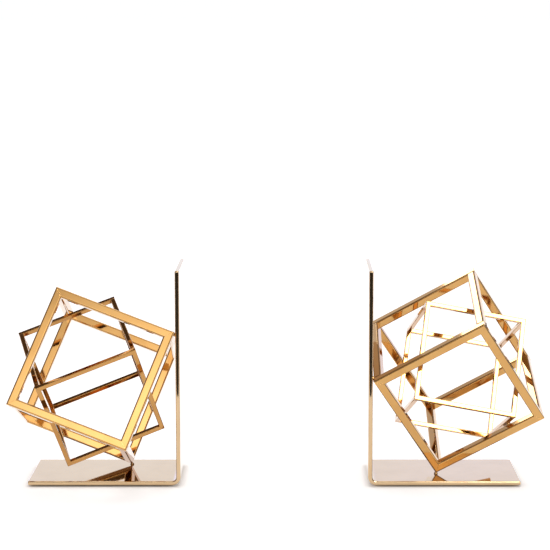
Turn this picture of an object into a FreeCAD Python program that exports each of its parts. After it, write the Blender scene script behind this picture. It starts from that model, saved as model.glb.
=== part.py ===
import FreeCAD, Part
import Sketcher
import math
import os

# A pair of book ends.  Each one is a bent L plate that carries two open
# wire-frame cubes: a large one balanced on a corner, and a smaller one of
# thinner bar that is wedged inside it with its corners poking out.
# World axes: +X along the row of books, -Y towards the reader, +Z up, in mm.
# Each book end is built in its own axes: the book face of the upright is
# x = 0, the base runs out to +x, the underside of the base is z = 0.

V = FreeCAD.Vector
Turn = FreeCAD.Rotation

SIZES = [
    ("plate_length", 107.0),      # base, from the book face to its free end
    ("plate_depth", 57.0),        # front to back
    ("plate_height", 152.0),      # upright, from the underside of the base
    ("plate_thick", 3.0),
    ("bend_inside", 3.0),         # inside radius of the bend
    ("plate_corner", 1.0),        # plan radius of the four free corners
    ("plate_ease", 0.9),          # rounding along the plate's rim
    ("pad_thick", 1.0),
    ("pad_inset", 4.0),           # pad edge to plate edge
    ("pad_corner", 3.0),
    ("outer_edge", 87.5),
    ("outer_bar", 6.0),
    ("inner_edge", 72.2),
    ("inner_bar", 3.2),
    ("outer_ease", 1.1),          # radius along the bars' long corners
    ("inner_ease", 0.5),
    ("bead_plate", 1.4),          # weld between a cube corner and the plate
    ("bead_cube", 1.7),           # weld between the two cubes
    ("book_gap", 131.2),          # between the two book faces
]

# The inner cube in the axes of the outer one.
INNER_SPIN = 43.0                 # about Y, then
INNER_TIP = -45.2                 # about its own X
INNER_SHIFT = V(2.05, -1.00, -2.85)

# How each sculpture stands on its plate: yaw about Z, tilt about X, roll
# about Y, where it sits front to back, and how far its extreme corners keep
# clear of the upright and of the base for the weld.
ENDS = {
    "right": {"yaw": -0.9, "tilt": 17.5, "roll": -31.4, "y": 14.4,
              "off_upright": 0.15, "off_base": 0.20, "turned": 0.0},
    "left": {"yaw": 2.7, "tilt": 21.4, "roll": -21.9, "y": 6.0,
             "off_upright": -0.10, "off_base": 0.20, "turned": 180.0},
}

doc = FreeCAD.newDocument("BookEnds")
sheet = doc.addObject("Spreadsheet::Sheet", "sizes")
SIZE = {}
for row, (alias, value) in enumerate(SIZES, 1):
    sheet.set("A%d" % row, alias)
    sheet.set("B%d" % row, str(value))
    sheet.setAlias("B%d" % row, alias)
    SIZE[alias] = value
doc.recompute()

parts = []


def origin_plane(body, role):
    for feature in body.Origin.OriginFeatures:
        if feature.Role == role:
            return feature
    raise RuntimeError("no " + role)


def new_body(name, placement):
    body = doc.addObject("PartDesign::Body", name)
    body.Label = name
    body.Placement = placement
    parts.append(body)
    return body


def new_sketch(body, role):
    sketch = body.newObject("Sketcher::SketchObject", body.Name + "_sketch")
    sketch.AttachmentSupport = [(origin_plane(body, role), "")]
    sketch.MapMode = "FlatFace"
    return sketch


def constrain(sketch, kind, *items):
    return sketch.addConstraint(Sketcher.Constraint(kind, *items))


def drive(sketch, expression, kind, *items):
    """A dimension whose value follows the spreadsheet."""
    index = constrain(sketch, kind, *items)
    sketch.setExpression("Constraints[%d]" % index, expression)


def polyline(sketch, points):
    """Closed chain of straight lines through the points."""
    count = len(points)
    for i in range(count):
        sketch.addGeometry(Part.LineSegment(points[i], points[(i + 1) % count]), False)
    for i in range(count):
        constrain(sketch, "Coincident", i, 2, (i + 1) % count, 1)


def pad_sketch(body, sketch, length):
    pad = body.newObject("PartDesign::Pad", body.Name + "_pad")
    pad.Profile = sketch
    pad.setExpression("Length", length)
    sketch.Visibility = False
    return pad


def dress(body, kind, base, radius, edges):
    """Fillet or chamfer on the edges of the last feature."""
    feature = body.newObject("PartDesign::" + kind, body.Name + "_" + kind.lower())
    feature.Base = (base, edges)
    feature.setExpression("Radius" if kind == "Fillet" else "Size", radius)
    body.Tip = feature
    doc.recompute()
    return feature


def edges_where(feature, test):
    names = []
    for i, edge in enumerate(feature.Shape.Edges, 1):
        ends = [v.Point for v in edge.Vertexes]
        if len(ends) == 2 and test(edge, ends[0], ends[1]):
            names.append("Edge%d" % i)
    return names


def runs_along(p, q, axis):
    d = q.sub(p)
    return abs(abs(d.dot(axis)) - d.Length) < 1e-6


# ---------------------------------------------------------------- plate

def make_plate(name, placement):
    """L plate: bent strip drawn as its side profile and padded front to back."""
    length, height = SIZE["plate_length"], SIZE["plate_height"]
    depth, thick = SIZE["plate_depth"], SIZE["plate_thick"]
    inside = SIZE["bend_inside"]
    outside = inside + thick
    body = new_body(name, placement)
    sketch = new_sketch(body, "XZ_Plane")
    centre = V(outside, outside, 0)

    def arc(radius):
        circle = Part.Circle(centre, V(0, 0, 1), radius)
        return Part.ArcOfCircle(circle, math.pi, 1.5 * math.pi)

    for item in (
        Part.LineSegment(V(0, height, 0), V(0, outside, 0)),
        arc(outside),
        Part.LineSegment(V(outside, 0, 0), V(length, 0, 0)),
        Part.LineSegment(V(length, 0, 0), V(length, thick, 0)),
        Part.LineSegment(V(length, thick, 0), V(outside, thick, 0)),
        arc(inside),
        Part.LineSegment(V(thick, outside, 0), V(thick, height, 0)),
        Part.LineSegment(V(thick, height, 0), V(0, height, 0)),
    ):
        sketch.addGeometry(item, False)
    for a, end_a, b, end_b in ((0, 2, 1, 1), (1, 2, 2, 1), (4, 2, 5, 2), (5, 1, 6, 1)):
        constrain(sketch, "Tangent", a, end_a, b, end_b)
    for a, b in ((2, 3), (3, 4), (6, 7), (7, 0)):
        constrain(sketch, "Coincident", a, 2, b, 1)
    for line in (0, 3, 6):
        constrain(sketch, "Vertical", line)
    for line in (2, 4, 7):
        constrain(sketch, "Horizontal", line)
    constrain(sketch, "PointOnObject", 0, 1, -2)
    constrain(sketch, "PointOnObject", 2, 2, -1)
    drive(sketch, "sizes.plate_length", "DistanceX", -1, 1, 2, 2, length)
    drive(sketch, "sizes.plate_height", "DistanceY", -1, 1, 0, 1, height)
    drive(sketch, "sizes.plate_thick", "DistanceY", 3, 1, 3, 2, thick)
    drive(sketch, "sizes.plate_thick", "DistanceX", 7, 2, 7, 1, thick)
    drive(sketch, "sizes.bend_inside", "Radius", 5, inside)
    drive(sketch, "sizes.bend_inside + sizes.plate_thick", "Radius", 1, outside)
    pad = pad_sketch(body, sketch, "sizes.plate_depth")
    pad.Midplane = True
    doc.recompute()

    free = edges_where(pad, lambda e, p, q: abs(e.Length - thick) < 1e-6
                       and abs(abs(p.y) - depth / 2) < 1e-6
                       and abs(abs(q.y) - depth / 2) < 1e-6)
    rounded = dress(body, "Fillet", pad, "sizes.plate_corner", free)

    def on_rim(e, p, q):
        at_end = (min(p.x, q.x) > length - 0.01) or (min(p.z, q.z) > height - 0.01)
        crossing = runs_along(p, q, V(0, 1, 0))
        through = abs(e.Length - thick) < 1e-6 and not crossing
        return not through and (at_end or not crossing)

    dress(body, "Fillet", rounded, "sizes.plate_ease", edges_where(rounded, on_rim))
    return body


def make_pad(name, placement):
    """Thin non-slip sheet under the base, inset from the plate's rim."""
    body = new_body(name, placement)
    sketch = new_sketch(body, "XY_Plane")
    inset, depth = SIZE["pad_inset"], SIZE["plate_depth"]
    start = SIZE["bend_inside"] + SIZE["plate_thick"] + inset
    end = SIZE["plate_length"] - inset
    half = depth / 2 - inset
    polyline(sketch, [V(start, -half, 0), V(end, -half, 0), V(end, half, 0), V(start, half, 0)])
    for line in (0, 2):
        constrain(sketch, "Horizontal", line)
    constrain(sketch, "Vertical", 3)
    constrain(sketch, "Symmetric", 0, 2, 1, 2, -1)
    drive(sketch, "sizes.bend_inside + sizes.plate_thick + sizes.pad_inset",
          "DistanceX", -1, 1, 0, 1, start)
    drive(sketch, "sizes.plate_length - sizes.pad_inset", "DistanceX", -1, 1, 0, 2, end)
    drive(sketch, "sizes.plate_depth - 2 * sizes.pad_inset",
          "DistanceY", 1, 1, 1, 2, 2 * half)
    pad = pad_sketch(body, sketch, "sizes.pad_thick")
    doc.recompute()
    dress(body, "Fillet", pad, "sizes.pad_corner",
          edges_where(pad, lambda e, p, q: runs_along(p, q, V(0, 0, 1))))
    return body


# ---------------------------------------------------------------- cubes

def make_mitred_bar(name, placement, edge, bar):
    """Bar with 45 degree ends: long outer face on y = 0, thickness up to z."""
    side, wide = SIZE[edge], SIZE[bar]
    body = new_body(name, placement)
    sketch = new_sketch(body, "XY_Plane")
    half, short = side / 2, side / 2 - wide
    polyline(sketch, [V(half, 0, 0), V(-half, 0, 0), V(-short, -wide, 0), V(short, -wide, 0)])
    constrain(sketch, "Symmetric", 0, 1, 0, 2, -1, 1)
    constrain(sketch, "Horizontal", 0)
    constrain(sketch, "Symmetric", 2, 1, 2, 2, -2)
    drive(sketch, "sizes.%s" % edge, "DistanceX", 0, 2, 0, 1, side)
    drive(sketch, "sizes.%s - 2 * sizes.%s" % (edge, bar), "DistanceX", 2, 1, 2, 2, 2 * short)
    drive(sketch, "sizes.%s" % bar, "DistanceY", 2, 1, 0, 2, wide)
    pad = pad_sketch(body, sketch, "sizes.%s" % bar)
    doc.recompute()
    dress(body, "Fillet", pad, "sizes.%s" % edge.replace("edge", "ease"),
          edges_where(pad, lambda e, p, q: runs_along(p, q, V(1, 0, 0))))
    return body


def make_post(name, placement, edge, bar):
    """Square bar cut to fit between the two mitred frames of a cube."""
    wide = SIZE[bar]
    body = new_body(name, placement)
    sketch = new_sketch(body, "XY_Plane")
    h = wide / 2
    polyline(sketch, [V(-h, -h, 0), V(h, -h, 0), V(h, h, 0), V(-h, h, 0)])
    for line in (0, 2):
        constrain(sketch, "Horizontal", line)
    for line in (1, 3):
        constrain(sketch, "Vertical", line)
    constrain(sketch, "Symmetric", 0, 1, 1, 2, -1, 1)
    drive(sketch, "sizes.%s" % bar, "DistanceX", 0, 1, 0, 2, wide)
    drive(sketch, "sizes.%s" % bar, "DistanceY", 1, 1, 1, 2, wide)
    pad = pad_sketch(body, sketch, "sizes.%s - 2 * sizes.%s" % (edge, bar))
    pad.Midplane = True
    doc.recompute()
    dress(body, "Fillet", pad, "sizes.%s" % edge.replace("edge", "ease"),
          edges_where(pad, lambda e, p, q: runs_along(p, q, V(0, 0, 1))))
    return body


def shift(x, y, z):
    return FreeCAD.Placement(V(x, y, z), Turn())


def turn(axis, angle):
    return FreeCAD.Placement(V(0, 0, 0), Turn(axis, angle))


def make_cube(prefix, cube, edge, bar):
    """Twelve bars: a mitred frame at the front and back, four posts between."""
    side, wide = SIZE[edge], SIZE[bar]
    bars = []
    for face, y in (("front", wide - side / 2), ("back", side / 2)):
        for where, angle in (("top", 0), ("outboard", 90), ("bottom", 180), ("inboard", 270)):
            place = (cube * shift(0, y, 0) * turn(V(0, 1, 0), angle)
                     * shift(0, 0, side / 2) * turn(V(1, 0, 0), 90))
            name = "%s_%s_%s_bar" % (prefix, face, where)
            bars.append(make_mitred_bar(name, place, edge, bar))
    reach = (side - wide) / 2
    for where, x, z in (("top_inboard", -reach, reach), ("top_outboard", reach, reach),
                        ("bottom_inboard", -reach, -reach), ("bottom_outboard", reach, -reach)):
        place = cube * shift(x, 0, z) * turn(V(1, 0, 0), 90)
        bars.append(make_post("%s_%s_post" % (prefix, where), place, edge, bar))
    return bars


# ---------------------------------------------------------------- welds

def common_point(group_a, group_b):
    """Midpoint of the shortest line between two groups of sub-parts."""
    a = Part.makeCompound([item.Shape for item in group_a])
    b = Part.makeCompound([item.Shape for item in group_b])
    first, second = a.distToShape(b)[1][0]
    return first.add(second).multiply(0.5)


def make_bead(name, centre, radius, neighbours):
    """Ball of weld at a touching point, hollowed by the parts it joins."""
    ball = doc.addObject("Part::Sphere", name + "_ball")
    ball.setExpression("Radius", "sizes." + radius)
    ball.Placement = FreeCAD.Placement(centre, Turn())
    doc.recompute()
    reach = SIZE[radius] + 0.01
    probe = Part.makeSphere(reach, centre)
    near = [n for n in neighbours if n.Shape.common(probe).Volume > 1e-4]
    result = ball
    for i, item in enumerate(near, 1):
        cut = doc.addObject("Part::Cut", "%s_cut%d" % (name, i))
        cut.Base, cut.Tool = result, item
        result = cut
    doc.recompute()
    return result


def closest_pairs(outer, inner, limit):
    """Bars of the two cubes that touch, nearest pair first."""
    pairs = []
    for a in outer:
        for b in inner:
            gap = a.Shape.distToShape(b.Shape)[0]
            if gap < limit:
                pairs.append((gap, a, b))
    return [(a, b) for gap, a, b in sorted(pairs, key=lambda p: p[0])]


# ---------------------------------------------------------------- layout

def cube_rotation(end):
    return (Turn(V(0, 0, 1), end["yaw"]) * Turn(V(1, 0, 0), end["tilt"])
            * Turn(V(0, 1, 0), end["roll"]))


def half_span(rotation, side):
    """Half the world box of a cube of this side turned by the rotation."""
    axes = [rotation.multVec(a) for a in (V(1, 0, 0), V(0, 1, 0), V(0, 0, 1))]
    return V(*[side / 2 * sum(abs(getattr(a, k)) for a in axes) for k in "xyz"])


def cube_centre(end):
    """The cube stands on its lowest corner and leans on the upright."""
    span = half_span(cube_rotation(end), SIZE["outer_edge"])
    thick = SIZE["plate_thick"]
    return V(thick + end["off_upright"] + span.x, end["y"], thick + end["off_base"] + span.z)


def pair_middle():
    """Middle of the whole pair's outline, about the centre of the book gap."""
    lows, highs = [], []
    for end in ENDS.values():
        span = half_span(cube_rotation(end), SIZE["outer_edge"])
        sign = -1 if end["turned"] else 1
        centre = cube_centre(end)
        x = sign * (SIZE["book_gap"] / 2 + centre.x)
        lows.append((x - span.x, sign * centre.y - span.y))
        highs.append((x + span.x, sign * centre.y + span.y))
    return [(min(p[k] for p in lows) + max(p[k] for p in highs)) / 2 for k in (0, 1)]


def make_book_end(side, end, middle):
    sign = -1 if end["turned"] else 1
    frame = (shift(sign * SIZE["book_gap"] / 2 - middle[0], -middle[1], SIZE["pad_thick"])
             * turn(V(0, 0, 1), end["turned"]))
    plate = make_plate(side + "_l_plate", frame)
    make_pad(side + "_non_slip_pad", frame * shift(0, 0, -SIZE["pad_thick"]))
    cube = frame * FreeCAD.Placement(cube_centre(end), cube_rotation(end))
    inner = (cube * FreeCAD.Placement(INNER_SHIFT, Turn(V(0, 1, 0), INNER_SPIN)
                                      * Turn(V(1, 0, 0), INNER_TIP)))
    outer_bars = make_cube(side + "_outer_cube", cube, "outer_edge", "outer_bar")
    inner_bars = make_cube(side + "_inner_cube", inner, "inner_edge", "inner_bar")
    doc.recompute()

    # The lowest corner meets the base, the innermost edge meets the upright.
    solid = Part.makeBox(*([SIZE["outer_edge"]] * 3))
    solid.Placement = cube * shift(*([-SIZE["outer_edge"] / 2] * 3))
    low = min((v.Point for v in solid.Vertexes), key=lambda p: p.z)
    foot = V(low.x, low.y, low.z - end["off_base"] / 2)
    strip = Part.makeBox(SIZE["plate_thick"], SIZE["plate_depth"] - 6, SIZE["plate_height"])
    strip.Placement = frame * shift(0, 3 - SIZE["plate_depth"] / 2, 0)
    first, second = strip.distToShape(solid)[1][0]
    lean = first.add(second).multiply(0.5)
    for name, centre in (("base_weld", foot), ("upright_weld", lean)):
        bead = make_bead("%s_%s" % (side, name), centre, "bead_plate", [plate] + outer_bars)
        bead.Label = "%s_%s" % (side, name)
        parts.append(bead)
    beads = []
    for i, (a, b) in enumerate(closest_pairs(outer_bars, inner_bars, 0.8), 1):
        centre = common_point([a], [b])
        beads.append(make_bead("%s_tack_%d" % (side, i), centre, "bead_cube",
                               outer_bars + inner_bars))
    tacks = doc.addObject("Part::Compound", side + "_tacks")
    tacks.Links = beads
    tacks.Label = side + "_cube_tack_welds"
    parts.append(tacks)
    doc.recompute()


def check():
    for obj in doc.Objects:
        if "Invalid" in obj.State or "Error" in obj.State:
            raise RuntimeError("%s is %s" % (obj.Label, obj.State))
        shape = getattr(obj, "Shape", None)
        if obj in parts and (shape is None or shape.isNull() or not shape.isValid()):
            raise RuntimeError(obj.Label + " has a bad shape")


def export():
    os.makedirs("parts", exist_ok=True)
    for obj in parts:
        obj.Shape.exportStep("parts/%s.step" % obj.Label)


middle = pair_middle()
for side, end in ENDS.items():
    make_book_end(side, end, middle)
check()
export()
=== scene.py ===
"""Looks for a pair of polished gold book ends: bent plates carrying nested wire-frame cubes."""

import math

import bmesh
import bpy
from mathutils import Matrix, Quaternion, Vector


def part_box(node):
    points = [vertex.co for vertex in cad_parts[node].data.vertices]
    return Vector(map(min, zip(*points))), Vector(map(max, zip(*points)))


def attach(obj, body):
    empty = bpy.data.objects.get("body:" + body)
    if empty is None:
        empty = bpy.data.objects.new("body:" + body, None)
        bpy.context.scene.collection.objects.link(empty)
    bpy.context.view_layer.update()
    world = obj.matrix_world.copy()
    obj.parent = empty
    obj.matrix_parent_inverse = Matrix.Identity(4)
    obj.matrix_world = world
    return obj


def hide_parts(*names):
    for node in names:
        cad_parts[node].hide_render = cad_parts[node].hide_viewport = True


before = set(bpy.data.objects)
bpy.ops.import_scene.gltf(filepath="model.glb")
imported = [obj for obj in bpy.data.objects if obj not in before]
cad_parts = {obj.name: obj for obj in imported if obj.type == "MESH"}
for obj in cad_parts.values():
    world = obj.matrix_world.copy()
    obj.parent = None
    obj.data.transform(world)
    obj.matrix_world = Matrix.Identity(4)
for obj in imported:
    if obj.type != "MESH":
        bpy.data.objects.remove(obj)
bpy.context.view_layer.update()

# Lengths are in metres, angles in degrees, noise scales in features per metre, colours linear.

# Foam pad.
PAD_CORNER = 0.003
PAD_CORNER_STEPS = 7
PAD_EDGE = ((0.00035, 0.0), (0.00014, 0.10), (0.00003, 0.28), (0.00012, 0.55), (0.00004, 0.82),
            (0.0, 1.0))           # how far the edge is pulled in, at each share of the height
FOAM = (0.020, 0.019, 0.018, 1.0)
FOAM_PALE = (0.045, 0.043, 0.041, 1.0)
FOAM_CELLS = 2600.0
FOAM_CELL_DEPTH = 0.0001
FOAM_DUST = 160.0

# Weld beads.
RIPPLE_SIZE = 0.0011
RIPPLE_DEPTH = 0.00022
WELD_GOLD = (0.55, 0.31, 0.11, 1.0)
WELD_DARK = (0.33, 0.17, 0.06, 1.0)
WELD_RIPPLES = 1500.0
WELD_RIPPLE_DEPTH = 0.00012
WELD_GRAIN = 6000.0

# Polished gold, the same on every piece.
GOLD_WORN = (0.74, 0.475, 0.215, 1.0)
WORN_SHARE = 0.55                 # how much of the worn colour a sharp edge takes
EDGE_TURN = 0.86                  # cosine at which an edge counts as fully turned
ALONG_PIECE = (1.0, 1.0, 0.035)   # stretch that draws the noise out into lines
POLISH_LINES = 5200.0
POLISH_LINE_DEPTH = 0.000012
SCUFFS = 1300.0
CLOUDS = 42.0
ROUGH_LEAST = 0.045
ROUGH_HAZE = 0.035
ROUGH_SCUFF = 0.075
ROUGH_WORN = 0.05
LACQUER, LACQUER_ROUGH, LACQUER_IOR = 0.85, 0.03, 1.48

# Polished gold by kind of piece: scale and depth of the slow waves left by polishing, radius of
# the edge rounding, main and deeper colour.
OUTER_FINISH = (55.0, 0.00010, 0.00015, (0.64, 0.36, 0.110, 1.0), (0.585, 0.31, 0.085, 1.0))
# The inner cube has the same plating as the outer; its darker, deeper colours are painted shade.
INNER_FINISH_PAINTED_SHADE = (85.0, 0.00006, 0.00010, (0.54, 0.275, 0.070, 1.0), (0.48, 0.230, 0.054, 1.0))
PLATE_FINISH = (24.0, 0.00010, 0.00040, (0.665, 0.475, 0.275, 1.0), (0.61, 0.425, 0.235, 1.0))

# Floor.
FLOOR_SIZE = 120.0
FLOOR = (0.90, 0.90, 0.90, 1.0)
FLOOR_PALE = (0.92, 0.92, 0.92, 1.0)
FLOOR_TOOTH = 260.0
FLOOR_GLOW = 0.64
# CONTACT_REACH sets how far the painted contact shadow reaches into the floor's glow.
CONTACT_REACH = 0.006             # how near a piece has to be to darken the floor's glow
WHITE = (1.0, 1.0, 1.0, 1.0)

# Surroundings. Directions are unit vectors, so X, Y and Z run from -1 to 1.
WORLD_STRENGTH = 1.05
ROOM = (0.36, 0.34, 0.325, 1.0)
SWEEP = (0.955, 0.965, 1.02, 1.0)
SWEEP_COOL = (0.955, 0.962, 1.20, 1.0)
SWEEP_DRIFT = 3.0
SWEEP_FROM_Y, SWEEP_TO_Y = -0.35, 0.15
SIDE = (0.05, 0.042, 0.036, 1.0)
SIDE_FROM_X, SIDE_TO_X = 0.70, 0.92
CEILING = (0.095, 0.068, 0.045, 1.0)
CEILING_FROM, CEILING_TO = 24.0, 50.0

# Cards and lights.
CARD_LIGHT = (1.0, 0.98, 0.95, 1.0)
CARD_EDGE = 0.5                   # half of a card's unit width, where its light has faded out
CARD_BLACK = (0.012, 0.011, 0.010, 1.0)
DARK_NEAR_Y, DARK_FAR_Y, DARK_WIDTH, DARK_HEIGHT = -1.4, -0.30, 2.4, 0.001

# Camera.
CAMERA_AT = (0.0094, -1.1416, 0.3301)
CAMERA_PITCH = 82.718
LENS = 106.79
SENSOR = 36.0
SHIFT = (-0.03, -0.10)


class Graph:
    """Short calls for building one node tree."""

    def __init__(self, tree):
        self.tree = tree
        tree.nodes.clear()

    def node(self, kind, **settings):
        made = self.tree.nodes.new(kind)
        for name, value in settings.items():
            setattr(made, name, value)
        return made

    def link(self, source, target):
        self.tree.links.new(source, target)

    def feed(self, socket, value):
        if isinstance(value, bpy.types.NodeSocket):
            self.link(value, socket)
        else:
            socket.default_value = value

    def math(self, operation, a, b=0.0, clamp=False):
        made = self.node("ShaderNodeMath", operation=operation, use_clamp=clamp)
        self.feed(made.inputs[0], a)
        self.feed(made.inputs[1], b)
        return made.outputs[0]

    def noise(self, where, scale, detail, rough=0.5):
        made = self.node("ShaderNodeTexNoise")
        self.feed(made.inputs["Vector"], where)
        made.inputs["Scale"].default_value = scale
        made.inputs["Detail"].default_value = detail
        made.inputs["Roughness"].default_value = rough
        return made.outputs["Fac"]

    def span(self, value, low, high, to_low=0.0, to_high=1.0):
        made = self.node("ShaderNodeMapRange")
        self.feed(made.inputs["Value"], value)
        made.inputs["From Min"].default_value = low
        made.inputs["From Max"].default_value = high
        made.inputs["To Min"].default_value = to_low
        made.inputs["To Max"].default_value = to_high
        return made.outputs["Result"]

    def mix(self, share, a, b):
        made = self.node("ShaderNodeMix", data_type="RGBA")
        self.feed(made.inputs["Factor"], share)
        self.feed(made.inputs[6], a)
        self.feed(made.inputs[7], b)
        return made.outputs[2]

    def bump(self, height, strength, distance, normal=None):
        made = self.node("ShaderNodeBump")
        made.inputs["Strength"].default_value = strength
        made.inputs["Distance"].default_value = distance
        self.feed(made.inputs["Height"], height)
        if normal is not None:
            self.link(normal, made.inputs["Normal"])
        return made.outputs["Normal"]

    def surface(self, **values):
        shader = self.node("ShaderNodeBsdfPrincipled")
        for name, value in values.items():
            self.feed(shader.inputs[name.replace("_", " ")], value)
        out = self.node("ShaderNodeOutputMaterial")
        self.link(shader.outputs[0], out.inputs["Surface"])


# ---------------------------------------------------------------- materials

def new_material(name):
    material = bpy.data.materials.new(name)
    material.use_nodes = True
    return material, Graph(material.node_tree)


def turned_place(g, turn, stretch):
    """Object coordinates in metres, plain, and turned so that Z runs along the piece."""
    place = g.node("ShaderNodeTexCoord").outputs["Object"]
    mapping = g.node("ShaderNodeMapping", vector_type="POINT")
    mapping.inputs["Rotation"].default_value = turn
    mapping.inputs["Scale"].default_value = stretch
    g.link(place, mapping.inputs["Vector"])
    return place, mapping.outputs["Vector"]


def edge_share(g, radius):
    """0 on a flat, rising to 1 on an edge of that radius, and the rounded normal."""
    bevel = g.node("ShaderNodeBevel", samples=8)
    bevel.inputs["Radius"].default_value = radius
    flat = g.node("ShaderNodeNewGeometry").outputs["Normal"]
    dot = g.node("ShaderNodeVectorMath", operation="DOT_PRODUCT")
    g.link(bevel.outputs["Normal"], dot.inputs[0])
    g.link(flat, dot.inputs[1])
    return g.span(dot.outputs["Value"], 1.0, EDGE_TURN), bevel.outputs["Normal"]


def polished_gold(name, turn, finish_and_shade):
    """Lacquered gold plating on polished metal, its fine lines running along the piece."""
    wave_size, wave_depth, edge, main, deep = finish_and_shade
    material, g = new_material(name)
    place, along = turned_place(g, turn, ALONG_PIECE)
    worn, rounded = edge_share(g, edge)
    lines = g.noise(along, POLISH_LINES, 2.0, 0.6)
    scuffs = g.noise(along, SCUFFS, 5.0, 0.7)
    clouds = g.noise(place, CLOUDS, 4.0, 0.55)
    waves = g.noise(place, wave_size, 1.5, 0.4)
    tone = g.mix(g.span(clouds, 0.35, 0.68), main, deep)
    colour = g.mix(g.math("MULTIPLY", worn, WORN_SHARE, True), tone, GOLD_WORN)
    hazed = g.math("MULTIPLY", g.span(clouds, 0.45, 0.75), ROUGH_HAZE)
    scuffed = g.math("MULTIPLY", g.span(scuffs, 0.60, 0.78), ROUGH_SCUFF)
    rough = g.math("ADD", g.math("ADD", hazed, scuffed), ROUGH_LEAST)
    rough = g.math("ADD", rough, g.math("MULTIPLY", worn, ROUGH_WORN))
    normal = g.bump(waves, 1.0, wave_depth, rounded)
    normal = g.bump(lines, 0.12, POLISH_LINE_DEPTH, normal)
    g.surface(Base_Color=colour, Metallic=1.0, Roughness=rough, Normal=normal,
              Coat_Weight=LACQUER, Coat_Roughness=LACQUER_ROUGH, Coat_IOR=LACQUER_IOR)
    return material


def weld_gold():
    """Dressed weld under the plating: softer than the bars, darker in its ripples."""
    material, g = new_material("dressed_weld")
    place = g.node("ShaderNodeTexCoord").outputs["Object"]
    ripple = g.noise(place, WELD_RIPPLES, 3.0, 0.55)
    grain = g.noise(place, WELD_GRAIN, 2.0, 0.6)
    colour = g.mix(g.span(ripple, 0.35, 0.62), WELD_DARK, WELD_GOLD)
    rough = g.span(grain, 0.3, 0.7, 0.16, 0.34)
    normal = g.bump(ripple, 0.7, WELD_RIPPLE_DEPTH)
    g.surface(Base_Color=colour, Metallic=1.0, Roughness=rough, Normal=normal, Coat_Weight=0.4,
              Coat_Roughness=0.12)
    return material


def foam():
    """Closed-cell foam: matt, pitted where the cells are cut."""
    material, g = new_material("pad_foam_cells")
    place = g.node("ShaderNodeTexCoord").outputs["Object"]
    cells = g.node("ShaderNodeTexVoronoi")
    g.link(place, cells.inputs["Vector"])
    cells.inputs["Scale"].default_value = FOAM_CELLS
    dust = g.noise(place, FOAM_DUST, 4.0, 0.6)
    colour = g.mix(g.span(dust, 0.4, 0.75), FOAM, FOAM_PALE)
    rough = g.span(dust, 0.3, 0.7, 0.82, 0.95)
    normal = g.bump(cells.outputs["Distance"], 0.6, FOAM_CELL_DEPTH)
    g.surface(Base_Color=colour, Roughness=rough, Normal=normal)
    return material


# ---------------------------------------------------------------- pieces

def long_axis(node):
    """The direction a bar runs in, from the spread of its corners (power iteration)."""
    points = [v.co.copy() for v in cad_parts[node].data.vertices]
    middle = sum(points, Vector()) / len(points)
    axis = max((p - middle for p in points), key=lambda d: d.length)
    for _ in range(20):
        axis = sum(((p - middle) * (p - middle).dot(axis) for p in points), Vector()).normalized()
    return axis


def turn_for(axis):
    """Mapping rotation that takes a direction to Z."""
    turn = Vector(axis).rotation_difference(Vector((0, 0, 1))).to_euler("XYZ")
    return (turn.x, turn.y, turn.z)


def dress(node, material):
    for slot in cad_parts[node].material_slots:
        slot.material = material


def bar_family(node):
    """Bars of one cube that run roughly the same way share a material."""
    side, cube = node.split("_")[:2]
    if node.endswith("_post"):
        run = "depth"
    elif "_top_" in node or "_bottom_" in node:
        run = "across"
    else:
        run = "up"
    return "%s_%s_%s" % (side, cube, run)


def round_outline(low, high, corner, inset):
    """Corner-rounded rectangle, counter-clockwise, pulled in by inset."""
    middle = (low + high) / 2
    starts = ((high.x, high.y, 0), (low.x, high.y, 90), (low.x, low.y, 180), (high.x, low.y, 270))
    points = []
    for x, y, start in starts:
        cx = x - math.copysign(corner, x - middle.x)
        cy = y - math.copysign(corner, y - middle.y)
        for i in range(PAD_CORNER_STEPS + 1):
            angle = math.radians(start + 90.0 * i / PAD_CORNER_STEPS)
            points.append((cx + (corner - inset) * math.cos(angle),
                           cy + (corner - inset) * math.sin(angle)))
    return points


def foam_pad(side, material):
    """Die-cut foam: the blade leaves a waisted edge, and use has rounded the lower rim."""
    node = side + "_non_slip_pad"
    low, high = (Vector(corner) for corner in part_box(node))
    mesh = bmesh.new()
    rings = []
    for inset, share in PAD_EDGE:
        z = low.z + (high.z - low.z) * share
        rings.append([mesh.verts.new((x, y, z))
                      for x, y in round_outline(low, high, PAD_CORNER, inset)])
    for below, above in zip(rings, rings[1:]):
        for i in range(len(below)):
            j = (i + 1) % len(below)
            mesh.faces.new((below[i], below[j], above[j], above[i])).smooth = True
    mesh.faces.new(list(reversed(rings[0])))
    mesh.faces.new(rings[-1])
    data = bpy.data.meshes.new(side + "_foam_pad")
    mesh.to_mesh(data)
    mesh.free()
    pad = bpy.data.objects.new(side + "_foam_pad", data)
    bpy.context.scene.collection.objects.link(pad)
    data.materials.append(material)
    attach(pad, side + "_book_end")
    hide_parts(node)


def ripple_weld(node):
    """Small uneven ripples, as left where a bead is dressed by hand."""
    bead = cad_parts[node]
    fine = bead.modifiers.new("fine", "SUBSURF")
    fine.subdivision_type = "SIMPLE"
    fine.levels = fine.render_levels = 2
    texture = bpy.data.textures.new("weld_ripple", "CLOUDS")
    texture.noise_scale = RIPPLE_SIZE
    push = bead.modifiers.new("ripple", "DISPLACE")
    push.texture = texture
    push.texture_coords = "LOCAL"
    push.strength = RIPPLE_DEPTH


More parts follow.
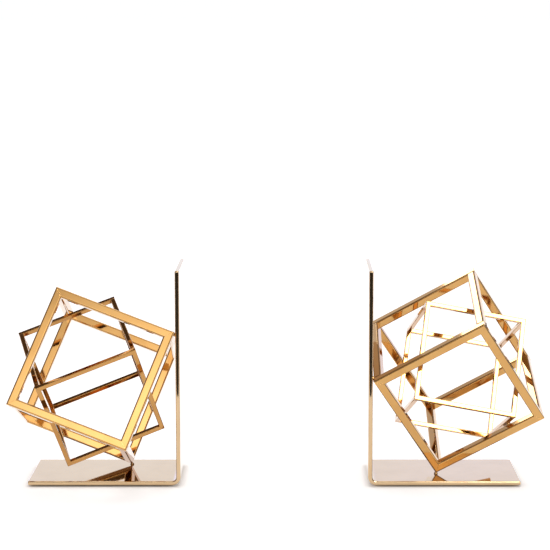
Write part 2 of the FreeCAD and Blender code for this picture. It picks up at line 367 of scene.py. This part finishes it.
def dress_everything():
    bars = {}
    weld, pad = weld_gold(), foam()
    for node in sorted(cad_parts):
        if "weld" in node:
            dress(node, weld)
            ripple_weld(node)
        elif "cube" in node:
            family = bar_family(node)
            if family not in bars:
                # Inner cubes get the darker colours that paint shade onto the one plating.
                finish_and_shade = OUTER_FINISH if "outer" in family else INNER_FINISH_PAINTED_SHADE
                bars[family] = polished_gold("gold_" + family, turn_for(long_axis(node)), finish_and_shade)
            dress(node, bars[family])
        elif "plate" in node:
            dress(node, polished_gold("gold_" + node, turn_for((1, 0, 0)), PLATE_FINISH))
        else:
            foam_pad(node.split("_")[0], pad)


# ---------------------------------------------------------------- studio

def make_floor():
    bpy.ops.mesh.primitive_plane_add(size=FLOOR_SIZE, location=(0, 0, 0))
    floor = bpy.context.object
    floor.name = "floor"
    material, g = new_material("floor_paper_painted_contact_shadow")
    place = g.node("ShaderNodeTexCoord").outputs["Object"]
    tooth = g.noise(place, FLOOR_TOOTH, 3.0, 0.6)
    colour = g.mix(g.span(tooth, 0.3, 0.7), FLOOR, FLOOR_PALE)
    # The floor's glow is dimmed by ambient occlusion near the pieces: a painted contact shadow.
    painted_contact_shadow = g.node("ShaderNodeAmbientOcclusion", samples=8)
    painted_contact_shadow.inputs["Distance"].default_value = CONTACT_REACH
    g.surface(Base_Color=colour, Roughness=0.9, Emission_Color=WHITE,
              Emission_Strength=g.math("MULTIPLY", painted_contact_shadow.outputs["AO"], FLOOR_GLOW))
    floor.data.materials.append(material)


def make_world():
    """White sweep behind, grey room in front, dark sides, all under a dark ceiling."""
    world = bpy.data.worlds.new("studio")
    bpy.context.scene.world = world
    world.use_nodes = True
    g = Graph(world.node_tree)
    way = g.node("ShaderNodeTexCoord").outputs["Generated"]
    split = g.node("ShaderNodeSeparateXYZ")
    g.link(way, split.inputs[0])
    behind = g.span(split.outputs["Y"], SWEEP_FROM_Y, SWEEP_TO_Y)
    height = g.span(split.outputs["Z"], math.sin(math.radians(CEILING_FROM)),
                    math.sin(math.radians(CEILING_TO)))
    aside = g.span(g.math("ABSOLUTE", split.outputs["X"]), SIDE_FROM_X, SIDE_TO_X)
    drift = g.span(g.noise(way, SWEEP_DRIFT, 1.0), 0.42, 0.60)
    sweep = g.mix(drift, SWEEP, SWEEP_COOL)
    round_about = g.mix(aside, g.mix(behind, ROOM, sweep), SIDE)
    back = g.node("ShaderNodeBackground")
    g.link(g.mix(height, round_about, CEILING), back.inputs["Color"])
    back.inputs["Strength"].default_value = WORLD_STRENGTH
    out = g.node("ShaderNodeOutputWorld")
    g.link(back.outputs[0], out.inputs["Surface"])


def only_in_reflections(card):
    card.visible_camera = False
    card.visible_diffuse = False
    card.visible_shadow = False


def fading_card(name, at, towards, size, glow, core, again=1.0):
    """A lit card whose light fades out to its edges, so that its reflection has no hard border.

    core: where the fading starts, as a distance on the unit card.
    again: how much of its light a reflection of a reflection gets.
    """
    bpy.ops.mesh.primitive_grid_add(x_subdivisions=2, y_subdivisions=2, size=1.0)
    card = bpy.context.object
    card.name = name
    card.scale = (size[0], size[1], 1.0)
    card.location = at
    card.rotation_euler = (Vector(towards) - Vector(at)).to_track_quat("Z", "Y").to_euler()
    material, g = new_material(name + "_light")
    place = g.node("ShaderNodeTexCoord").outputs["Object"]
    away = g.node("ShaderNodeVectorMath", operation="LENGTH")
    g.link(place, away.inputs[0])
    light = g.node("ShaderNodeEmission")
    light.inputs["Color"].default_value = CARD_LIGHT
    bounced = g.math("GREATER_THAN", g.node("ShaderNodeLightPath").outputs["Ray Depth"], 1.5)
    g.link(g.span(bounced, 0.0, 1.0, glow, glow * again), light.inputs["Strength"])
    clear = g.node("ShaderNodeBsdfTransparent")
    blend = g.node("ShaderNodeMixShader")
    g.link(g.span(away.outputs["Value"], core, CARD_EDGE, 1.0, 0.0), blend.inputs[0])
    g.link(clear.outputs[0], blend.inputs[1])
    g.link(light.outputs[0], blend.inputs[2])
    out = g.node("ShaderNodeOutputMaterial")
    g.link(blend.outputs[0], out.inputs["Surface"])
    card.data.materials.append(material)
    only_in_reflections(card)


def dark_foreground():
    """Black card lying in front of the book ends, seen only in reflections: a painted dark
    reflection in the metal; the floor under it stays lit and white.
    """
    middle = (DARK_NEAR_Y + DARK_FAR_Y) / 2
    bpy.ops.mesh.primitive_plane_add(size=1.0, location=(0.0, middle, DARK_HEIGHT))
    card = bpy.context.object
    card.name = "dark_foreground"
    card.scale = (DARK_WIDTH, DARK_FAR_Y - DARK_NEAR_Y, 1.0)
    material, g = new_material("black_card")
    g.surface(Base_Color=CARD_BLACK, Roughness=0.9)
    card.data.materials.append(material)
    only_in_reflections(card)


def soft_box(name, at, towards, size, power, roll):
    """Area light that shows in the metal and leaves the floor alone."""
    light = bpy.data.lights.new(name, "AREA")
    light.shape = "RECTANGLE"
    light.size, light.size_y = size
    light.energy = power
    box = bpy.data.objects.new(name, light)
    bpy.context.scene.collection.objects.link(box)
    box.location = at
    aim = (Vector(towards) - Vector(at)).to_track_quat("-Z", "Y")
    box.rotation_euler = (aim @ Quaternion((0.0, 0.0, 1.0), math.radians(roll))).to_euler()
    box.visible_camera = False
    box.visible_diffuse = False


def soft_sky(strength, spread, lean):
    """Even light from almost overhead, leaning towards the reader."""
    light = bpy.data.lights.new("soft_sky", "SUN")
    light.energy = strength
    light.angle = math.radians(spread)
    sky = bpy.data.objects.new("soft_sky", light)
    bpy.context.scene.collection.objects.link(sky)
    sky.rotation_euler = (math.radians(-lean), 0.0, 0.0)


def make_lights():
    soft_sky(strength=0.95, spread=48.0, lean=12.0)
    fading_card("key", at=(0.68, -1.10, 1.08), towards=(0.13, -0.02, 0.09), size=(1.10, 0.95),
                glow=12.5, core=0.38, again=0.06)
    soft_box("post_light", at=(-0.28, 0.90, 0.79), towards=(0.14, 0.0, 0.13), size=(0.17, 0.08),
             power=0.16, roll=37.0)
    fading_card("front_low", at=(-0.05, -0.80, 0.42), towards=(-0.13, -0.05, 0.09),
                size=(1.05, 0.56), glow=2.35, core=0.1)
    fading_card("front_high", at=(0.25, -1.30, 1.35), towards=(0.0, 0.0, 0.07),
                size=(1.1, 0.75), glow=1.6, core=0.2)
    dark_foreground()


def make_camera():
    data = bpy.data.cameras.new("camera")
    data.lens = LENS
    data.sensor_width = SENSOR
    data.shift_x, data.shift_y = SHIFT
    camera = bpy.data.objects.new("camera", data)
    bpy.context.scene.collection.objects.link(camera)
    camera.location = CAMERA_AT
    camera.rotation_euler = (math.radians(CAMERA_PITCH), 0.0, 0.0)
    bpy.context.scene.camera = camera


dress_everything()
make_floor()
make_world()
make_lights()
make_camera()
bpy.context.scene.view_settings.view_transform = "Standard"
